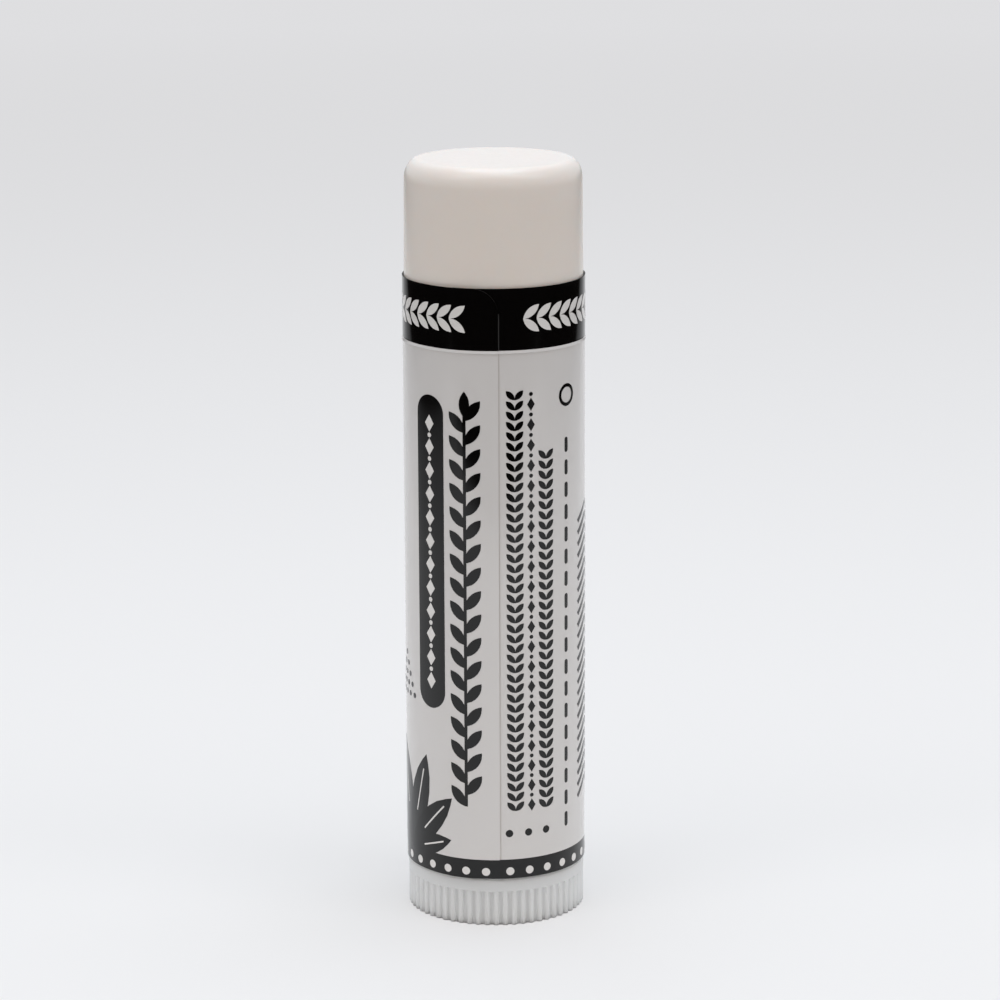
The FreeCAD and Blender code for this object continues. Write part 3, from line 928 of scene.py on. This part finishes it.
class LIPBALM_OT_balm(bpy.types.Operator):
    """Pours the balm: a slug with a soft dome, bored for the screw and grooved by the tube's keys"""
    bl_idname = "lip_balm.balm"
    bl_label = "Balm"

    def execute(self, context):
        settings = context.scene.lip_balm
        balm = settings.balm
        radius = BALM_HIGH.x
        shoulder = BALM_HIGH.z - balm.dome
        bpy.ops.object.select_all(action="DESELECT")
        bpy.ops.mesh.primitive_cylinder_add(vertices=balm.sides, radius=radius, depth=shoulder - CUP_RIM,
                                            location=(0, 0, (shoulder + CUP_RIM) / 2))
        slug = named("balm_slug")
        bpy.ops.object.mode_set(mode="EDIT")
        self.dome(radius, shoulder, balm)
        self.bore(radius, balm)
        bpy.ops.object.mode_set(mode="OBJECT")
        self.grooves(slug, radius, balm)
        finish_piece(slug, "stick", "balm", beeswax_balm(settings.finish), smooth=40)
        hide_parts("balm_stick")
        return {"FINISHED"}

    def dome(self, radius, shoulder, balm):
        """Raises rings of the upper face to a dome, which sinks a little at its middle."""
        def profile(reach):
            sink = balm.sink * math.exp(-(reach / balm.sink_reach) ** 2)
            return balm.dome * math.sqrt(max(1 - (reach / radius) ** 2, 0)) - sink
        rings = 20
        pick("faces", at_height(shoulder))
        before = radius
        height = 0
        for ring in range(1, rings):
            reach = radius * math.cos(math.pi / 2 * ring / rings)
            bpy.ops.mesh.inset(thickness=before - reach)
            bpy.ops.transform.translate(value=(0, 0, profile(reach) - height))
            before = reach
            height = profile(reach)

    def bore(self, radius, balm):
        """Steps the lower face into the cup, round the hub and up the screw."""
        pick("faces", at_height(CUP_RIM))
        bpy.ops.mesh.inset(thickness=radius - balm.plug)
        raise_face(BALM_LOW.z - CUP_RIM)
        bpy.ops.mesh.inset(thickness=balm.plug - balm.hub)
        raise_face(balm.hub_top - BALM_LOW.z)
        bpy.ops.mesh.inset(thickness=balm.hub - balm.screw)
        raise_face(balm.screw_top - balm.hub_top)

    def grooves(self, slug, radius, balm):
        """Cuts the grooves that the tube's keys leave, up from a little below the cup's rim."""
        below = 1 * MM
        foot = CUP_RIM - below
        reach = balm.groove_floor + radius / 2
        for number in range(balm.grooves):
            turn = 2 * math.pi * number / balm.grooves
            bpy.ops.object.select_all(action="DESELECT")
            bpy.ops.mesh.primitive_cube_add(
                size=1, rotation=(0, 0, turn),
                location=(reach * math.cos(turn), reach * math.sin(turn), (balm.groove_top + foot) / 2))
            bpy.context.object.scale = (radius, balm.groove, balm.groove_top - foot)
            key = named("key_room")
            apply_modifier(slug, "BOOLEAN", operation="DIFFERENCE", object=key, solver="EXACT")
            only(key)
            bpy.ops.object.delete()


class LIPBALM_OT_plastics(bpy.types.Operator):
    """Gives the wheel and its screw, the tube and the cup their plastics"""
    bl_idname = "lip_balm.plastics"
    bl_label = "Wheel, tube and cup"

    def execute(self, context):
        finish = context.scene.lip_balm.finish
        plain = tube_polypropylene(finish)
        finishes = {"turn_wheel": natural_polypropylene(finish), "tube": plain, "elevator_cup": plain}
        for node, material in finishes.items():
            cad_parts[node].data.materials[0] = material
        return {"FINISHED"}


class LIPBALM_OT_stage(bpy.types.Operator):
    """Sets up the floor, the light and the camera"""
    bl_idname = "lip_balm.stage"
    bl_label = "Stage"

    def execute(self, context):
        settings = context.scene.lip_balm
        self.floor(settings.finish)
        self.lamps(settings.stage)
        self.room(context, settings)
        self.camera(context, settings.stage)
        context.scene.view_settings.view_transform = "Standard"
        return {"FINISHED"}

    def floor(self, finish):
        """A sheet of pale paper on a dark table.

        The camera sees paper all over, which evens out to a plain backdrop far from the stick. Gloss
        and bounced light meet the table past the paper's edges, and see the paper's colour dim towards its
        sides: painted light falling off.
        """
        side_edge = (0.222, 0.228)                   # these lengths are in metres
        # Where the paper's colour dims towards its sides: painted light falling off, which only gloss and
        # bounced light see
        painted_light_falloff = (0.13, 0.225)
        front_edge = (-0.17, -0.14)
        backdrop_reach = (0.12, 0.75)
        backdrop_share = (0.35, 0.95)
        dimmest_painted_light = 0.3                                # share of the paper's colour left at its side edges, painted light falling off
        floor_radius = 4
        material, tree = new_material("pale_paper")
        place = add_node(tree, "ShaderNodeTexCoord").outputs["Object"]
        sides = add_node(tree, "ShaderNodeSeparateXYZ", {"Vector": place})
        side = add_node(tree, "ShaderNodeMath", {0: sides.outputs["X"]}, operation="ABSOLUTE").outputs[0]
        within = add_node(tree, "ShaderNodeMapRange", {"Value": side, **spread(*side_edge, 1.0, 0.0)})
        # Painted light falloff: the paper's colour dims towards its sides
        fade = add_node(tree, "ShaderNodeMapRange", {"Value": side, **spread(*painted_light_falloff, 1.0, dimmest_painted_light)})
        ahead = add_node(tree, "ShaderNodeMapRange", {"Value": sides.outputs["Y"], **spread(*front_edge)})
        lit = add_node(tree, "ShaderNodeMath", {0: within.outputs[0], 1: fade.outputs[0]},
                       operation="MULTIPLY")
        on_paper = add_node(tree, "ShaderNodeMath", {0: lit.outputs[0], 1: ahead.outputs[0]},
                            operation="MULTIPLY")
        camera_ray = add_node(tree, "ShaderNodeLightPath").outputs["Is Camera Ray"]
        seen = add_node(tree, "ShaderNodeMath", {0: on_paper.outputs[0], 1: camera_ray},
                        operation="MAXIMUM")
        tone = add_node(tree, "ShaderNodeMix", {
            MIX_SHARE: seen.outputs[0], MIX_FIRST: opaque(finish.table), MIX_SECOND: opaque(finish.paper)},
            data_type="RGBA")
        matt = add_node(tree, "ShaderNodeBsdfDiffuse", {"Color": tone.outputs[MIX_RESULT]})
        away = add_node(tree, "ShaderNodeVectorMath", {0: place}, operation="LENGTH")
        even = add_node(tree, "ShaderNodeMapRange", {"Value": away.outputs["Value"],
                                                     **spread(*backdrop_reach, *backdrop_share)})
        glow = add_node(tree, "ShaderNodeEmission", {"Color": opaque(finish.backdrop), "Strength": 1.0})
        share = add_node(tree, "ShaderNodeMath", {0: camera_ray, 1: even.outputs[0]}, operation="MULTIPLY")
        both = add_node(tree, "ShaderNodeMixShader", {0: share.outputs[0], 1: matt.outputs[0],
                                                      2: glow.outputs[0]})
        add_node(tree, "ShaderNodeOutputMaterial", {"Surface": both.outputs[0]})
        bpy.ops.object.select_all(action="DESELECT")
        bpy.ops.mesh.primitive_circle_add(vertices=96, radius=floor_radius, fill_type="NGON")
        floor = named("floor")
        floor.data.materials.append(material)

    def lamps(self, stage):
        """A wide panel high in front and a cooler one overhead, both turned to the stick."""
        panels = (("front_panel", (0.02, -0.30, 0.62), (1.8, 0.3), stage.front_power, (0.98, 1.0, 1.03)),
                  ("top_panel", (0.02, 0.05, 0.70), (0.5, 0.5), stage.top_power, (0.86, 1.0, 1.16)))
        for name, place, size, power, tint in panels:
            turn = (-Vector(place)).to_track_quat("-Z", "Y").to_euler()
            bpy.ops.object.light_add(type="AREA", location=place, rotation=turn)
            panel = bpy.context.object
            panel.name = name
            panel.data.shape = "RECTANGLE"
            panel.data.size = size[0]
            panel.data.size_y = size[1]
            panel.data.energy = power
            panel.data.color = tint

    def room(self, context, settings):
        """A room that is dim and warm in front, and brighter and cool behind.

        The camera and the gloss see it plain and pale.
        """
        warm = (1.0, 0.88, 0.77)
        cool = (0.97, 1.0, 1.04)
        front_to_back = (-0.5, 0.3)                  # where a direction's y turns from warm to cool
        world = bpy.data.worlds.new("room")
        context.scene.world = world
        world.use_nodes = True
        tree = world.node_tree
        tree.nodes.clear()
        direction = add_node(tree, "ShaderNodeTexCoord").outputs["Generated"]
        sides = add_node(tree, "ShaderNodeSeparateXYZ", {"Vector": direction})
        behind = add_node(tree, "ShaderNodeMapRange", {"Value": sides.outputs["Y"],
                                                       **spread(*front_to_back)})
        tone = add_node(tree, "ShaderNodeMix", {
            MIX_SHARE: behind.outputs["Result"],
            MIX_FIRST: opaque(settings.stage.front * share for share in warm),
            MIX_SECOND: opaque(settings.stage.back * share for share in cool)}, data_type="RGBA")
        light = add_node(tree, "ShaderNodeBackground", {"Color": tone.outputs[MIX_RESULT], "Strength": 1.0})
        pale = add_node(tree, "ShaderNodeBackground", {"Color": opaque(settings.finish.room),
                                                       "Strength": 1.0})
        path = add_node(tree, "ShaderNodeLightPath")
        seen = add_node(tree, "ShaderNodeMath", {0: path.outputs["Is Camera Ray"],
                                                 1: path.outputs["Is Glossy Ray"]}, operation="MAXIMUM")
        both = add_node(tree, "ShaderNodeMixShader", {0: seen.outputs[0], 1: light.outputs[0],
                                                      2: pale.outputs[0]})
        add_node(tree, "ShaderNodeOutputWorld", {"Surface": both.outputs[0]})

    def camera(self, context, stage):
        """The camera at the photograph's angle."""
        aim = Vector(stage.aim)
        back = Vector((0, -math.cos(stage.elevation), math.sin(stage.elevation)))
        look = (-back).to_track_quat("-Z", "Y").to_matrix().to_4x4()
        bpy.ops.object.camera_add()
        camera = bpy.context.object
        camera.data.lens = stage.lens
        camera.data.clip_start = 10 * MM
        camera.matrix_world = (Matrix.Translation(aim + back * stage.distance) @ look
                               @ Matrix.Rotation(stage.roll, 4, "Z"))
        context.scene.camera = camera


class LIPBALM_PT_panel(bpy.types.Panel):
    """Lists the steps that dress the stick"""
    bl_label = "Lip Balm Stick"
    bl_idname = "LIPBALM_PT_panel"
    bl_space_type = "VIEW_3D"
    bl_region_type = "UI"
    bl_category = "Lip Balm"

    def draw(self, context):
        for step in STEPS:
            self.layout.operator(step.bl_idname)


STEPS = (LIPBALM_OT_cap, LIPBALM_OT_wrap, LIPBALM_OT_border, LIPBALM_OT_sprigs, LIPBALM_OT_pill,
         LIPBALM_OT_rows, LIPBALM_OT_chevrons, LIPBALM_OT_tuft, LIPBALM_OT_wreath, LIPBALM_OT_dots,
         LIPBALM_OT_seal_print, LIPBALM_OT_balm, LIPBALM_OT_plastics, LIPBALM_OT_stage)
CLASSES = (CapSettings, WrapSettings, PrintSettings, BalmSettings, FinishSettings, StageSettings,
           LipBalmSettings, *STEPS, LIPBALM_PT_panel)


def register():
    for item in CLASSES:
        bpy.utils.register_class(item)
    bpy.types.Scene.lip_balm = PointerProperty(type=LipBalmSettings)


def unregister():
    del bpy.types.Scene.lip_balm
    for item in reversed(CLASSES):
        bpy.utils.unregister_class(item)


def main():
    register()
    for step in STEPS:
        family, name = step.bl_idname.split(".")
        getattr(getattr(bpy.ops, family), name)()


if __name__ == "__main__":
    main()
